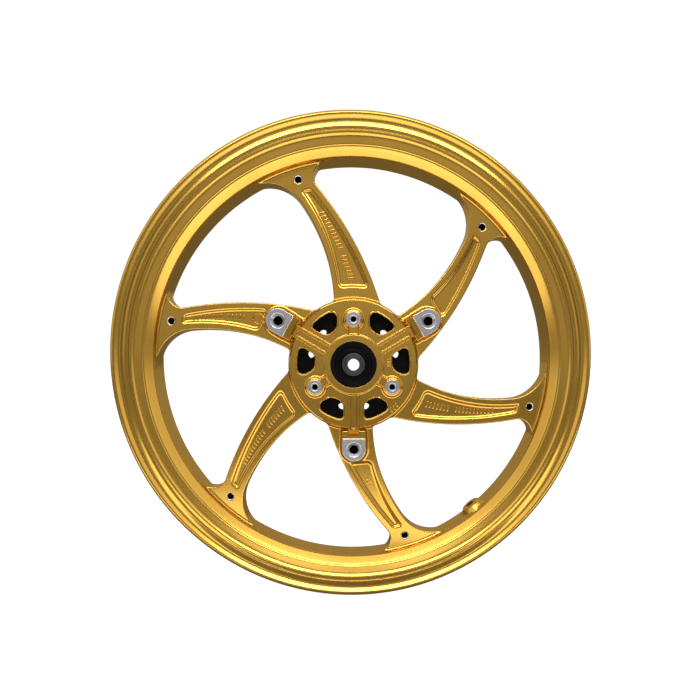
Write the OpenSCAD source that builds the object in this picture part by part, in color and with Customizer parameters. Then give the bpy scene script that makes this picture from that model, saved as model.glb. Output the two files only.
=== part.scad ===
// Six-spoke forged rear wheel for a small racing motorcycle, with its hub bearings, seals and cush rubbers.
// Every module is drawn face up, with +Z towards the disc side, and stand_up() turns it onto its axle.
// The finished wheel stands upright: the axle lies along Y, the disc side faces -Y and +Z is up.

/* [Rim] */
// Diameter over the tyre flanges
rim_d = 462; // [458:1:466]
// Width over the tyre flanges
rim_w = 59; // [57:1:62]
// Height of each tyre flange above its bead seat
flange_h = 14; // [13.5:0.5:14.5]
// Radius of the valve hole
valve_hole_r = 4.15; // [4.1:0.05:4.25]
// Angle of the valve boss, anticlockwise from +X
valve_angle = -50; // [-52:1:-48]

/* [Spokes] */
// Angle of the first spoke's tip hole, anticlockwise from +X
tip_angle = 46.6; // [46:0.1:47]
// Radius of the circle through the tip holes
tip_hole_pitch_r = 181.6; // [180:0.2:183]
// Radius of each tip hole
tip_hole_r = 3.1; // [2.5:0.1:3.5]
// Depth of the pocket in the front face
face_pocket_depth = 2.2; // [1.5:0.1:3]
// Depth of the lightening pocket in the back face
back_pocket_depth = 8; // [4:0.5:9]
// Width of the walls around the pockets
pocket_wall = 5.5; // [5:0.5:7]

/* [Hub] */
// Outer radius of the cush drive drum
drum_r = 64.5; // [64.5:0.5:66]
// Pitch circle diameter of the three disc pads
disc_pcd = 166; // [164:1:168]
// Core radius of the threaded hole in each disc pad
disc_hole_r = 4.25; // [3.4:0.05:4.3]
// Pitch circle diameter of the three small bosses
boss_pcd = 86; // [84:1:88]
// Core radius of the threaded hole in each small boss
boss_hole_r = 2.5; // [2.1:0.1:2.6]
// Angle of the first rib, pad and web, anticlockwise from +X
rib_angle = 30; // [29:0.5:31]

/* [Bearings] */
// Radius of the axle
axle_r = 6; // [6:0.01:6.05]
// Outside radius of each wheel bearing
bearing_r = 18.5; // [18.5:0.1:19]
// Width of each wheel bearing
bearing_w = 12; // [12:0.1:12.5]
// Radius of the bearing balls
ball_r = 2.975; // [2.9:0.005:3]
// Number of balls in each bearing
ball_count = 7; // [6:1:7]
// Outside radius of each dust seal
seal_r = 22; // [21.5:0.1:22.5]

/* [Hidden] */

gold = [0.72, 0.52, 0.13];
black_rubber = [0.06, 0.06, 0.065];
bearing_steel = [0.62, 0.63, 0.65];
dark_steel = [0.24, 0.24, 0.25];
brass = [0.70, 0.55, 0.25];

curve_fn = 160;
edge_fn = 480;
small_fn = 48;
far = 400; // longer than anything it cuts
clear = 0.3; // gap between pieces that move past each other
running = 0.05; // radial gap of a running fit
round_steps = 5; // straight stretches in each rounded corner

// rim section, from the mid plane outwards
rim_r = rim_d / 2;
half_w = rim_w / 2;
seat_r = rim_r - flange_h;
barrel_r = rim_r - 38;
barrel_half_w = half_w - 17;
band_r = 4; // rounding where the barrel turns into the side of the rim
valve_boss_r = 11;
valve_boss_top = barrel_r - 5.5; // radius of the boss's flat inner face

// spoke outline: the leading edge is an arc that the spoke lies inside, and it lies outside the trailing arc
spoke_step = 60;
lead_arc_r = 314;
lead_arc_centre = [275.8 * cos(80.5), 275.8 * sin(80.5)];
trail_arc_r = 171.5;
trail_arc_centre = [198.2 * cos(57.18), 198.2 * sin(57.18)];
lead_fillet_r = 14;
trail_fillet_r = 37;
fillet_overlap = 2; // how far each fillet's solid runs under the edge
fillet_blunt_angle = 0.7; // each fillet stops this far short of vanishing against the barrel
spoke_front_root = 13; // height of the front face where the spoke leaves the drum
spoke_front_tip = 10;
spoke_back_root = -14;
spoke_back_tip = -10;
pocket_tip_r = tip_hole_pitch_r - 11;
pocket_root_r = drum_r + 10;
pad_end_r = 97; // radius where the pockets of the padded spokes begin
hole_chamfer = 0.7;

// hub heights
plate_top = 22;
plate_bottom = 15;
root_low = plate_bottom + 2; // where everything that stands on the plate begins, inside its metal
plate_r = 62.3; // where the plate's flat top ends
drum_bottom = -24;
drum_wall = 6.5;
tube_r = 28;
tube_end = 31;
nose_r = 28.5;
web_t = 10;
rib_w = 12.7;
rib_top = 29;
rib_groove_w = 5.8;
rib_groove_depth = 2;
rib_end_r = 64;
pad_top = 26;
pad_r = 11.5;
pad_inner_x = 72;
pad_slope_inset = 0.7;
pad_slope_low = 23; // heights of the slope between the drum's edge and the pad
pad_slope_high = 25.4;
pad_countersink_r = 7.8;
pad_hole_depth = 22;
boss_top = 29;
boss_r = 7.2;
boss_collar_r = 10.4;
boss_collar_top = 26.5;
boss_neck_w = 9;
boss_neck_top = 27.5;
boss_hole_depth = 13;
window_inner_r = 36.8;
window_outer_r = 54.3;
window_offset = 25; // angle from a rib to the windows beside it
window_half_angle = 15.3;
window_corner_r = 6;

// cush rubbers, one on each side of every web
damper_inner_r = tube_r + clear;
damper_outer_r = drum_r - drum_wall - clear;
damper_back = -20;
damper_lug_angle = 51; // angle from a web to the free face of the rubbers beside it
damper_corner_r = 2.5;
damper_hole_r = 4.2;
damper_hole_pitch_r = 43.5;
damper_hole_angle = 15.5; // from the web

// bearings, seals and collars, each measured outwards from the hub's middle
bearing_inner_face = 13;
bearing_mid = bearing_inner_face + bearing_w / 2;
bearing_outer_face = bearing_inner_face + bearing_w;
shoulder_r = bearing_r - 3;
ball_pitch_r = 12.25;
inner_race_r = 9.75;
outer_race_inner_r = 14.75;
groove_r = ball_r + running;
shield_t = 0.5;
shield_inset = 0.4;
cage_inner_r = 10.9;
cage_outer_r = 13.6;
cage_back = 4.6; // from the balls' middle to the cage's flat side
cage_floor = 3.1; // and to the bottom of its pockets
cage_front = 2;
cage_pocket_r = ball_r + running;
seal_back = bearing_outer_face + clear;
seal_front = 30.4;
collar_r = 11;
collar_front = 33;
spacer_r = 9;

function polar(r, a) = [r * cos(a), r * sin(a)];
function arc(centre, r, from, to, steps) =
    [for (i = [0:steps]) centre + polar(r, from + (to - from) * i / steps)];

// where a circle of radius ra about the axle meets one of radius rb about b, on the right of the line to b
function meet(ra, b, rb) =
    let (d = norm(b), u = b / d, t = (d * d + ra * ra - rb * rb) / (2 * d))
    t * u + sqrt(ra * ra - t * t) * [u[1], -u[0]];

// a corner b, between a and c, rounded to radius r
function round_corner(a, b, c, r) =
    let (
        u = (a - b) / norm(a - b),
        v = (c - b) / norm(c - b),
        half = acos(u * v) / 2,
        w = (u + v) / norm(u + v),
        centre = b + w * r / sin(half),
        p = b + u * r / tan(half) - centre,
        q = b + v * r / tan(half) - centre,
        from = atan2(p[1], p[0]),
        turn = atan2(p[0] * q[1] - p[1] * q[0], p * q)
    )
    arc(centre, r, from, from + turn, round_steps);

function rounded(points, r) =
    let (n = len(points))
    [for (i = [0:n - 1]) each round_corner(points[(i + n - 1) % n], points[i], points[(i + 1) % n], r)];

module stand_up() { rotate([90, 0, 0]) children(); }

module ring(outer, inner, low, high) {
    rotate_extrude($fn = curve_fn)
        translate([inner, low])
            square([outer - inner, high - low]);
}

module disc(r, low, high, fn = curve_fn) { translate([0, 0, low]) cylinder(r = r, h = high - low, $fn = fn); }

module three() { for (i = [0:2]) rotate([0, 0, 120 * i]) children(); }

// ---- rim ----

rim_front = concat(
    arc([barrel_r + band_r, barrel_half_w + 1], band_r, 180, 135, 4),
    [
        [barrel_r + 7.1, barrel_half_w + 9.7], [barrel_r + 8.2, barrel_half_w + 9.9],
        [barrel_r + 9.2, barrel_half_w + 10.8], [barrel_r + 15.8, barrel_half_w + 11.4],
        [barrel_r + 16.7, half_w - 5.1], [barrel_r + 18.6, half_w - 3.5],
        [barrel_r + 19.6, half_w - 3.3], [barrel_r + 21.9, half_w - 3.6],
        [barrel_r + 23.6, half_w - 2.6], [barrel_r + 26.4, half_w - 3.3],
        [rim_r - 9.2, half_w - 3.6], [rim_r - 7.8, half_w - 3.1],
        [rim_r - 4.6, half_w - 0.3], [rim_r - 3.5, half_w], [rim_r - 2.1, half_w - 0.6],
        [rim_r - 0.6, half_w - 2.3], [rim_r, half_w - 4.4]
    ]
);

rim_tyre_side = [
    [rim_r - 0.2, half_w - 5.1], [rim_r - 1, half_w - 5.6], [rim_r - 2.4, half_w - 5.8],
    [rim_r - 5.5, half_w - 6.3], [seat_r + 2.5, half_w - 6.3], [seat_r + 0.8, half_w - 6.9],
    [seat_r + 0.1, half_w - 8.3], [seat_r - 0.7, half_w - 15.5], [seat_r - 2.4, half_w - 17],
    [barrel_r + 8, 10.5], [barrel_r + 6, 9.2], [barrel_r + 5.5, 7.2]
];

module rim_ring() {
    half = concat(rim_front, rim_tyre_side);
    other_half = [for (i = [len(half) - 1:-1:0]) [half[i][0], -half[i][1]]];
    rotate_extrude($fn = 240) polygon(concat(half, other_half));
}

module valve_boss() {
    intersection() {
        translate([valve_boss_top, 0, 0])
            rotate([0, 90, 0])
                cylinder(r = valve_boss_r, h = barrel_r + 3 - valve_boss_top, $fn = small_fn);
        disc(barrel_r + 3, -far, far);
    }
}

module rim() {
    color(gold) stand_up() rotate([0, 0, valve_angle]) difference() {
        union() {
            rim_ring();
            valve_boss();
        }
        translate([barrel_r - far / 4, 0, 0])
            rotate([0, 90, 0])
                cylinder(r = valve_hole_r, h = far / 2, $fn = small_fn);
    }
}

// ---- spokes ----

module pillar(centre, r) { translate(centre) disc(r, -half_w, half_w, edge_fn); }

// the corner between the barrel and an edge arc, filled back to a circle of radius r;
// side is 1 where the spoke lies inside the arc and -1 where it lies outside
module fillet(arc_centre, arc_r, r, side) {
    centre = meet(barrel_r - r, arc_centre, arc_r + side * r);
    inside_r = arc_r - side * fillet_overlap;
    away = (centre - arc_centre) / norm(centre - arc_centre);
    rim_angle = atan2(centre[1], centre[0]) + side * fillet_blunt_angle;
    difference() {
        translate([0, 0, -half_w])
            linear_extrude(rim_w)
                polygon([
                    centre, arc_centre + inside_r * away, meet(barrel_r + 1, arc_centre, inside_r),
                    polar(barrel_r + 1, rim_angle)
                ]);
        pillar(centre, r);
    }
}

// the strip between the two edge arcs, moved in by inset, from one radius to another
module spoke_strip(inset, from_r, to_r) {
    difference() {
        intersection() {
            pillar(lead_arc_centre, lead_arc_r - inset);
            pillar([0, 0], to_r);
            translate([0, -drum_r, -half_w]) cube([far, far, rim_w]);
        }
        pillar(trail_arc_centre, trail_arc_r + inset);
        pillar([0, 0], from_r);
    }
}

module spoke_outline() {
    difference() {
        intersection() {
            union() {
                spoke_strip(0, drum_r, barrel_r);
                fillet(lead_arc_centre, lead_arc_r, lead_fillet_r, 1);
                fillet(trail_arc_centre, trail_arc_r, trail_fillet_r, -1);
            }
            pillar([0, 0], barrel_r);
        }
        pillar([0, 0], drum_r);
    }
}

// everything between the spoke's sloping front and back faces, each moved in by a depth
module spoke_thickness(front_depth, back_depth) {
    rotate_extrude($fn = curve_fn)
        polygon([
            [drum_r - 5, spoke_back_root + back_depth], [barrel_r + 5, spoke_back_tip + back_depth],
            [barrel_r + 5, spoke_front_tip - front_depth], [drum_r - 5, spoke_front_root - front_depth]
        ]);
}

module pad_body() {
    linear_extrude(pad_top) {
        translate([disc_pcd / 2, 0]) circle(r = pad_r, $fn = small_fn);
        translate([pad_inner_x, -pad_r]) square([disc_pcd / 2 - pad_inner_x, 2 * pad_r]);
    }
    pad_slope();
}

// rises from the drum's edge to the pad
module pad_slope() {
    half = pad_r - pad_slope_inset;
    difference() {
        rotate([90, 0, 0])
            translate([0, 0, -half])
                linear_extrude(2 * half)
                    polygon([
                        [drum_r - 2, 0], [pad_inner_x + 2, 0], [pad_inner_x + 2, pad_slope_high],
                        [pad_inner_x - 0.3, pad_slope_high], [drum_r, pad_slope_low],
                        [drum_r - 2, pad_slope_low]
                    ]);
        pillar([0, 0], drum_r);
    }
}

module pad_hole() {
    translate([disc_pcd / 2, 0, pad_top - pad_hole_depth])
        cylinder(r = disc_hole_r, h = far, $fn = small_fn);
    translate([disc_pcd / 2, 0, pad_top - pad_countersink_r + disc_hole_r])
        cylinder(r1 = disc_hole_r, r2 = pad_countersink_r + 0.1,
            h = pad_countersink_r - disc_hole_r + 0.1, $fn = small_fn);
}

module tip_hole() {
    translate([tip_hole_pitch_r, 0, -far / 2]) cylinder(r = tip_hole_r, h = far, $fn = small_fn);
    translate([tip_hole_pitch_r, 0, spoke_front_tip - hole_chamfer])
        cylinder(r1 = tip_hole_r, r2 = tip_hole_r + 2 * hole_chamfer, h = 2 * hole_chamfer, $fn = small_fn);
}

module spoke(number) {
    padded = number % 2 == 1;
    turn = spoke_step * (number - 1);
    pocket_from = padded ? pad_end_r : pocket_root_r;
    color(gold) stand_up() difference() {
        union() {
            rotate([0, 0, tip_angle + turn]) difference() {
                intersection() {
                    spoke_thickness(0, 0);
                    spoke_outline();
                }
                difference() {
                    spoke_strip(pocket_wall, pocket_from, pocket_tip_r);
                    spoke_thickness(face_pocket_depth, back_pocket_depth);
                }
                tip_hole();
            }
            if (padded) rotate([0, 0, rib_angle + turn]) pad_body();
        }
        if (padded) rotate([0, 0, rib_angle + turn]) pad_hole();
    }
}

// ---- hub ----

module hub_shell() {
    inner_wall = drum_r - drum_wall;
    rotate_extrude($fn = curve_fn)
        polygon([
            [0, -tube_end], [tube_r, -tube_end], [tube_r, plate_bottom], [inner_wall, plate_bottom],
            [inner_wall, drum_bottom], [drum_r, drum_bottom], [drum_r, spoke_front_root],
            [plate_r, plate_top], [nose_r, plate_top], [nose_r, tube_end - 1],
            [nose_r - 1, tube_end], [0, tube_end]
        ]);
}

module web() {
    translate([tube_r - 2, -web_t / 2, drum_bottom + 2])
        cube([drum_r - drum_wall / 2 - tube_r + 2, web_t, plate_top - drum_bottom - 4]);
}

module rib() {
    translate([tube_r - 2, -rib_w / 2, root_low])
        cube([rib_end_r - tube_r + 2, rib_w, rib_top - root_low]);
}

// the foot of a disc pad on the drum's sloping shoulder, trimmed to the drum's radius
module pad_foot() {
    intersection() {
        rotate([90, 0, 0])
            translate([0, 0, -pad_r])
                linear_extrude(2 * pad_r)
                    polygon([
                        [plate_r - 4, root_low], [drum_r + 1, root_low], [drum_r + 1, pad_slope_low],
                        [plate_r, plate_top - 0.5], [plate_r - 4, plate_top - 0.5]
                    ]);
        disc(drum_r, -far / 2, far / 2);
    }
}

module small_boss() {
    translate([boss_pcd / 2, 0, 0]) {
        disc(boss_r, root_low, boss_top, small_fn);
        disc(boss_collar_r, root_low, boss_collar_top, small_fn);
        disc(boss_hole_r + 2.5, boss_top - boss_hole_depth - 3, boss_top - 1, small_fn);
    }
    translate([tube_r - 2, -boss_neck_w / 2, root_low])
        cube([boss_pcd / 2 - tube_r, boss_neck_w, boss_neck_top - root_low]);
}

module small_boss_hole() {
    translate([boss_pcd / 2, 0, boss_top - boss_hole_depth])
        cylinder(r = boss_hole_r, h = far / 2, $fn = small_fn);
    translate([boss_pcd / 2, 0, boss_top - 1.2])
        cylinder(r1 = boss_hole_r, r2 = boss_hole_r + 1.3, h = 1.3, $fn = small_fn);
}

module window() {
    corners = [
        polar(window_inner_r, -window_half_angle), polar(window_outer_r, -window_half_angle),
        polar(window_outer_r + 1, 0), polar(window_outer_r, window_half_angle),
        polar(window_inner_r, window_half_angle)
    ];
    translate([0, 0, plate_bottom - 1])
        linear_extrude(far / 2)
            polygon(rounded(corners, window_corner_r));
}

module hub_bores() {
    disc(shoulder_r, -far / 2, far / 2);
    for (side = [0, 1]) mirror([0, 0, side]) {
        disc(bearing_r, bearing_inner_face, far / 2);
        disc(seal_r, bearing_outer_face, far / 2);
    }
}

module hub() {
    color(gold) stand_up() difference() {
        union() {
            hub_shell();
            rotate([0, 0, rib_angle]) three() {
                web();
                rib();
                pad_foot();
                rotate([0, 0, 60]) small_boss();
            }
        }
        hub_bores();
        rotate([0, 0, rib_angle]) three() {
            translate([nose_r + 1, -rib_groove_w / 2, rib_top - rib_groove_depth])
                cube([far / 4, rib_groove_w, far / 4]);
            rotate([0, 0, 60]) small_boss_hole();
            rotate([0, 0, window_offset]) window();
            rotate([0, 0, -window_offset]) window();
        }
    }
}

// ---- cush rubbers ----

module cush_damper(number) {
    web_number = floor((number - 1) / 2);
    side = number % 2 == 1 ? 0 : 1;
    web_face = web_t / 2;
    near_angle_inner = asin(web_face / damper_inner_r);
    near_angle_outer = asin(web_face / damper_outer_r);
    corners = concat(
        arc([0, 0], damper_inner_r, damper_lug_angle, near_angle_inner, 3),
        arc([0, 0], damper_outer_r, near_angle_outer, damper_lug_angle, 4)
    );
    color(black_rubber) stand_up() rotate([0, 0, rib_angle + 120 * web_number]) mirror([0, side, 0])
        difference() {
            translate([0, 0, damper_back])
                linear_extrude(plate_bottom - damper_back)
                    polygon(rounded(corners, damper_corner_r));
            translate(polar(damper_hole_pitch_r, damper_hole_angle))
                disc(damper_hole_r, damper_back - 1, plate_bottom + 1, small_fn);
        }
}

// ---- bearings, seals and collars ----

// the left-hand pieces are the right-hand ones seen in a mirror on the wheel's mid plane
module on_side(left) { stand_up() mirror([0, 0, left]) children(); }

module ball_groove() {
    translate([0, 0, bearing_mid])
        rotate_extrude($fn = curve_fn)
            translate([ball_pitch_r, 0])
                circle(r = groove_r, $fn = small_fn);
}

module race(inner, outer) {
    difference() {
        ring(outer, inner, bearing_inner_face, bearing_outer_face);
        ball_groove();
    }
}

module outer_race(left) { color(bearing_steel) on_side(left) race(outer_race_inner_r, bearing_r); }

module inner_race(left) { color(bearing_steel) on_side(left) race(axle_r, inner_race_r); }

module around_balls() {
    for (i = [0:ball_count - 1])
        rotate([0, 0, 360 * i / ball_count])
            translate([ball_pitch_r, 0, bearing_mid])
                children();
}

module ball_set(left) {
    color(bearing_steel) on_side(left) around_balls() sphere(r = ball_r, $fn = small_fn);
}

// a crown cage: a ring beside the balls, with a post between each ball and the next
module ball_cage(left) {
    color(brass) on_side(left) difference() {
        ring(cage_outer_r, cage_inner_r, bearing_mid - cage_back, bearing_mid + cage_front);
        around_balls()
            translate([0, 0, -cage_floor])
                cylinder(r = cage_pocket_r, h = 2 * cage_back, $fn = small_fn);
    }
}

module shield(low) { ring(outer_race_inner_r, inner_race_r + clear, low, low + shield_t); }

module outer_shield(left) {
    color(dark_steel) on_side(left) shield(bearing_outer_face - shield_inset - shield_t);
}

module inner_shield(left) { color(dark_steel) on_side(left) shield(bearing_inner_face + shield_inset); }

module dust_seal(left) {
    lip_r = collar_r + running;
    color(black_rubber) on_side(left)
        rotate_extrude($fn = curve_fn)
            polygon([
                [seal_r, seal_back], [seal_r, seal_front - 0.4], [seal_r - 0.4, seal_front],
                [seal_r - 4, seal_front], [seal_r - 5, seal_front - 1.4], [lip_r + 3.4, seal_front - 1.8],
                [lip_r + 2.2, seal_front - 0.3], [lip_r + 0.8, seal_front - 0.3], [lip_r, seal_front - 1.3],
                [lip_r, seal_front - 2.3], [lip_r + 1.4, seal_back + 0.6], [seal_r - 3.5, seal_back + 0.6],
                [seal_r - 3.5, seal_back]
            ]);
}

module axle_collar(left) {
    color(dark_steel) on_side(left)
        rotate_extrude($fn = curve_fn)
            polygon([
                [axle_r, bearing_outer_face], [inner_race_r - 0.5, bearing_outer_face],
                [collar_r, bearing_outer_face + 1], [collar_r, collar_front - 0.8],
                [collar_r - 0.8, collar_front], [axle_r + 1, collar_front], [axle_r, collar_front - 1]
            ]);
}

module bearing_spacer() {
    color(dark_steel) stand_up() ring(spacer_r, axle_r, -bearing_inner_face, bearing_inner_face);
}

rim();
spoke(1);  // spoke_1
spoke(2);  // spoke_2
spoke(3);  // spoke_3
spoke(4);  // spoke_4
spoke(5);  // spoke_5
spoke(6);  // spoke_6
hub();
cush_damper(1);  // cush_damper_1
cush_damper(2);  // cush_damper_2
cush_damper(3);  // cush_damper_3
cush_damper(4);  // cush_damper_4
cush_damper(5);  // cush_damper_5
cush_damper(6);  // cush_damper_6
outer_race(0);  // outer_race_right
inner_race(0);  // inner_race_right
ball_set(0);  // ball_set_right
ball_cage(0);  // ball_cage_right
outer_shield(0);  // outer_shield_right
inner_shield(0);  // inner_shield_right
dust_seal(0);  // dust_seal_right
axle_collar(0);  // axle_collar_right
outer_race(1);  // outer_race_left
inner_race(1);  // inner_race_left
ball_set(1);  // ball_set_left
ball_cage(1);  // ball_cage_left
outer_shield(1);  // outer_shield_left
inner_shield(1);  // inner_shield_left
dust_seal(1);  // dust_seal_left
axle_collar(1);  // axle_collar_left
bearing_spacer();
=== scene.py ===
"""Looks of a six-spoke forged motorcycle wheel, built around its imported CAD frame.

Shapes are drawn in millimetres, face up: x to the right, y up the wheel and a along the axle, towards the
disc side. place() turns them into the row frame, where the axle lies along Y and the disc side faces -Y.
"""

import math

import bpy
import numpy as np
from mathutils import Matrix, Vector


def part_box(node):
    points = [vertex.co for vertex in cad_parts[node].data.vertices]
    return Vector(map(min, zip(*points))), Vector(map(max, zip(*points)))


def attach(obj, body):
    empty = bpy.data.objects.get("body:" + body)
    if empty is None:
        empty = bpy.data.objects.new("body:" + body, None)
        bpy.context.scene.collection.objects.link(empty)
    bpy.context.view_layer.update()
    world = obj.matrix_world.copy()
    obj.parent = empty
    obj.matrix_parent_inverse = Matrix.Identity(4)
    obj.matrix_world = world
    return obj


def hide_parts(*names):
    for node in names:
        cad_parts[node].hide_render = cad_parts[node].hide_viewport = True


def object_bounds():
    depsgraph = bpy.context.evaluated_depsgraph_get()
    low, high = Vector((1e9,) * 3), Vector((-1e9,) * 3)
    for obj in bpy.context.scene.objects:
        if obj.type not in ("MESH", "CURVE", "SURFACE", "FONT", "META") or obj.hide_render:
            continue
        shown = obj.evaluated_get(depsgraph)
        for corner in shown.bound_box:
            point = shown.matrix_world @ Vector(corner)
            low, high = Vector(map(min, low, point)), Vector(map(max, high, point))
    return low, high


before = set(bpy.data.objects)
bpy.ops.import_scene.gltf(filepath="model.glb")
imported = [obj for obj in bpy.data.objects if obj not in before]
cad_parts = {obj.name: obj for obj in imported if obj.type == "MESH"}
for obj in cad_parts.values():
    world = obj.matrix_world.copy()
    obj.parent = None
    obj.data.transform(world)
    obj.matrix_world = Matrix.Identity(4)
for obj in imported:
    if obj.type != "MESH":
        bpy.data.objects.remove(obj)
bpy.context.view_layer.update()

MM = 0.001

# ---- sizes, in millimetres: those that the frame gives, then those of the design ----


def half_size(node, axis):
    """Half of a CAD node's size along a row axis."""
    low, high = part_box(node)
    return (high[axis] - low[axis]) / 2 / MM


RIM_R = half_size("rim", 0)
HALF_W = half_size("rim", 1)
BARREL_R = RIM_R - 38
BARREL_HALF_W = HALF_W - 17
SEAT_R = RIM_R - 14
DRUM_R = half_size("hub", 0)
TUBE_END = half_size("hub", 1)
PAD_TOP = -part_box("spoke_1")[0][1] / MM
BEARING_BACK = -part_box("outer_race_right")[1][1] / MM
BEARING_FRONT = -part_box("outer_race_right")[0][1] / MM
BEARING_R = half_size("outer_race_right", 0)
BEARING_MID = (BEARING_BACK + BEARING_FRONT) / 2
SEAL_R = half_size("dust_seal_right", 0)
SEAL_BACK = -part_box("dust_seal_right")[1][1] / MM
SEAL_FRONT = -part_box("dust_seal_right")[0][1] / MM
COLLAR_R = half_size("axle_collar_right", 0)
COLLAR_FRONT = -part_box("axle_collar_right")[0][1] / MM
SPACER_R = half_size("bearing_spacer", 0)
AXLE_R = 6

VALVE_ANGLE = -50
VALVE_HOLE_R = 4.15

SPOKES = 6
SPOKE_STEP = 60
TIP_ANGLE = 46.6
TIP_HOLE_PITCH_R = 181.6
TIP_HOLE_R = 3.1
LEAD_ARC_R = 314
LEAD_ARC_AT = (275.8, 80.5)
TRAIL_ARC_R = 171.5
TRAIL_ARC_AT = (198.2, 57.18)
LEAD_FILLET_R = 14
TRAIL_FILLET_R = 37
SPOKE_FRONT = (13, 10)
SPOKE_BACK = (-14, -10)

RIB_ANGLE = 30
PAD_X = 83
PAD_R = 11.5
PAD_HOLE_R = 4.25
PAD_COUNTERSINK_R = 7.2
PAD_HOLE_DEPTH = 22
PAD_INNER_X = 72
BOSS_X = 43
PLATE_TOP = 22
PLATE_BOTTOM = 15
PLATE_R = 62.3
TUBE_R = 28
DRUM_WALL = 6.5
PLATE_CORE = 16  # a height inside the plate, where what stands on it ends
DRUM_BOTTOM = -24
WEB_HALF_T = 5
CONE_RUN, CONE_RISE = DRUM_R - PLATE_R, PLATE_TOP - SPOKE_FRONT[0]


# ---- signed distance fields: negative inside the metal ----

SLOPE_REACH = 0.04
MOST_TRIANGLES = 190000


def both(p, q, r=0.0):
    """What two shapes share, with the edge between them rounded to radius r."""
    if not r:
        return np.maximum(p, q)
    return np.minimum(-r, np.maximum(p, q)) + np.hypot(np.maximum(r + p, 0), np.maximum(r + q, 0))


def either(p, q, r=0.0):
    """Two shapes joined, with a fillet of radius r in the corner between them."""
    if not r:
        return np.minimum(p, q)
    return np.maximum(r, np.minimum(p, q)) - np.hypot(np.maximum(r - p, 0), np.maximum(r - q, 0))


def less(p, q, r=0.0):
    """The first shape with the second one cut out of it."""
    return both(p, -q, r)


def polar(r, degrees):
    return np.array([r * math.cos(math.radians(degrees)), r * math.sin(math.radians(degrees))])


def meet(ra, b, rb):
    """Where a circle of radius ra about the axle meets one of radius rb about b.

    Of the two points it is the one on the right of the line to b.
    """
    d = math.hypot(*b)
    u = np.array(b) / d
    t = (d * d + ra * ra - rb * rb) / (2 * d)
    return t * u + math.sqrt(ra * ra - t * t) * np.array([u[1], -u[0]])


def surface_net(value):
    """Vertices, in grid steps, and quads of the zero surface of a field sampled on a grid."""
    inside = value < 0
    cells = tuple(n - 1 for n in value.shape)
    offsets = [(i, j, k) for i in (0, 1) for j in (0, 1) for k in (0, 1)]

    def shifted(array, o):
        return array[tuple(slice(o[k], o[k] + cells[k]) for k in range(3))]

    count = sum(shifted(inside, o).astype(np.uint8) for o in offsets)
    active = np.argwhere((count > 0) & (count < 8))
    index = np.full(cells, -1, np.int64)
    index[tuple(active.T)] = np.arange(len(active))
    total = np.zeros((len(active), 3))
    hits = np.zeros(len(active))
    for axis in range(3):
        for o in (o for o in offsets if not o[axis]):
            start = active + o
            end = start.copy()
            end[:, axis] += 1
            v0, v1 = value[tuple(start.T)].astype(float), value[tuple(end.T)].astype(float)
            crossed = (v0 < 0) != (v1 < 0)
            point = start.astype(float)
            point[:, axis] += np.where(crossed, v0 / np.where(crossed, v0 - v1, 1), 0)
            total[crossed] += point[crossed]
            hits[crossed] += 1
    quads = []
    for axis in range(3):
        u, v = (axis + 1) % 3, (axis + 2) % 3
        first = [slice(1, n - 1) for n in value.shape]
        second = list(first)
        first[axis], second[axis] = slice(0, -1), slice(1, None)
        low, high = inside[tuple(first)], inside[tuple(second)]
        for starts_inside in (True, False):
            edge = np.argwhere((low != high) & (low == starts_inside))
            edge[:, u] += 1
            edge[:, v] += 1
            ring = []
            for du, dv in ((-1, -1), (0, -1), (0, 0), (-1, 0)):
                cell = edge.copy()
                cell[:, u] += du
                cell[:, v] += dv
                ring.append(index[tuple(cell.T)])
            ring = np.stack(ring, 1)
            quads.append(ring if starts_inside else ring[:, ::-1])
    return total / hits[:, None], np.concatenate(quads)


def unit(vectors):
    return vectors / np.maximum(np.linalg.norm(vectors, axis=1, keepdims=True), 1e-9)


def gradient(field, points):
    """The field's slope at each point."""
    slope = np.zeros_like(points)
    for axis in range(3):
        step = np.zeros(3)
        step[axis] = SLOPE_REACH
        slope[:, axis] = (field(*(points + step).T) - field(*(points - step).T)) / (2 * SLOPE_REACH)
    return slope


def place(points):
    """Millimetres, face up, to metres in the row frame."""
    x, y, a = np.asarray(points, float).T
    return np.stack([x, -a, y], 1) * MM


def turned(points, degrees, mirrored=False):
    """Points turned about the axle. Mirrored ones change sides first."""
    x, y, a = np.asarray(points, float).T
    c, s = math.cos(math.radians(degrees)), math.sin(math.radians(degrees))
    return np.stack([c * x - s * y, s * x + c * y, -a if mirrored else a], 1)


def new_piece(name, points, faces):
    """An object from points in the row frame."""
    mesh = bpy.data.meshes.new(name)
    faces = np.asarray(faces)
    mesh.vertices.add(len(points))
    mesh.vertices.foreach_set("co", np.asarray(points, np.float32).ravel())
    mesh.loops.add(faces.size)
    mesh.loops.foreach_set("vertex_index", faces.astype(np.int32).ravel())
    mesh.polygons.add(len(faces))
    mesh.polygons.foreach_set("loop_start", np.arange(0, faces.size, faces.shape[1], dtype=np.int32))
    mesh.update(calc_edges=True)
    mesh.shade_smooth()
    piece = bpy.data.objects.new(name, mesh)
    bpy.context.scene.collection.objects.link(piece)
    return piece


def thinned(points, faces, share):
    """The mesh with its flat stretches made of fewer faces."""
    piece = new_piece("thinning", points, faces)
    modifier = piece.modifiers.new("thin", "DECIMATE")
    modifier.ratio = share
    modifier.use_collapse_triangulate = True
    mesh = piece.evaluated_get(bpy.context.evaluated_depsgraph_get()).to_mesh()
    thin_points = np.zeros(len(mesh.vertices) * 3)
    mesh.vertices.foreach_get("co", thin_points)
    thin_faces = np.zeros(len(mesh.polygons) * 3, np.int64)
    mesh.polygons.foreach_get("vertices", thin_faces)
    bpy.data.objects.remove(piece)
    return thin_points.reshape(-1, 3), thin_faces.reshape(-1, 3)


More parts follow.
